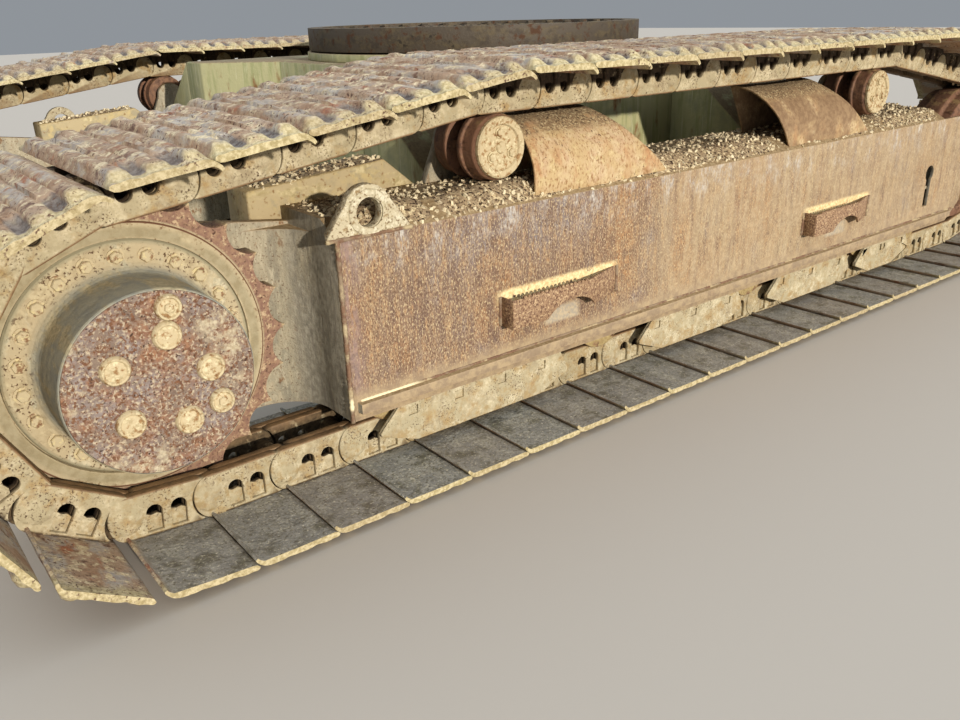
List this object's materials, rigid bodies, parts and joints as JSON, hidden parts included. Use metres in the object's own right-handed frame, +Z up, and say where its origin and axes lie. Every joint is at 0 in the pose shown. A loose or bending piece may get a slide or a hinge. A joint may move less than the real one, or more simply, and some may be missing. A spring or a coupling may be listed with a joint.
{
  "type": "crawler undercarriage",
  "caption": "Crawler undercarriage: two track units with drives, rollers and box frames, joined by a car body that carries a slewing ring.",
  "frame": {"origin": "on the ground, under the middle of the tracks' bounding box", "axes": "+X forward, from the sprockets to the idlers; +Y left; +Z up"},
  "size_m": [5.2454, 3.5, 1.212],
  "materials": {
    "track_steel": "worn and rusted, dusty",
    "sprocket_steel": "rusted, worn teeth",
    "drive_paint": "faded, rust through, dusty",
    "motor_paint": "dull, oily dust",
    "frame_paint": "faded ochre paint with rust streaks",
    "roller_steel": "rusted",
    "cover_rust": "rusted through the paint",
    "body_paint": "faded olive green paint",
    "ring_steel": "dull brown grey"
  },
  "bodies": {
    "undercarriage": {"track_right": "track_steel", "track_left": "track_steel", "sprocket_right": "sprocket_steel", "sprocket_left": "sprocket_steel", "final_drive_right": "drive_paint", "final_drive_left": "drive_paint", "travel_motor_right": "motor_paint", "travel_motor_left": "motor_paint", "side_frame_right": "frame_paint", "side_frame_left": "frame_paint", "idler_right": "roller_steel", "idler_left": "roller_steel", "idler_yoke_right": "frame_paint", "idler_yoke_left": "frame_paint", "track_rollers_right": "roller_steel", "track_rollers_left": "roller_steel", "roller_guards_right": "frame_paint", "roller_guards_left": "frame_paint", "carrier_rollers_right": "roller_steel", "carrier_rollers_left": "roller_steel", "carrier_brackets_right": "frame_paint", "carrier_brackets_left": "frame_paint", "mud_covers_right": "cover_rust", "mud_covers_left": "cover_rust", "hose_cover_right": "frame_paint", "hose_cover_left": "frame_paint", "steps_right": "cover_rust", "steps_left": "cover_rust", "lifting_lugs_right": "frame_paint", "lifting_lugs_left": "frame_paint", "car_body": "body_paint", "legs_right": "body_paint", "legs_left": "body_paint", "ring_seat": "body_paint", "ring_inner_race": "ring_steel", "rotary_joint": "motor_paint"},
    "upper_race": {"ring_outer_race": "ring_steel"}
  },
  "joints": [
    {"name": "slew", "type": "hinge", "parent": "undercarriage", "child": "upper_race", "pos_m": [0.05273, 0, 1.161], "axis": [0, 0, 1], "continuous": true}
  ]
}
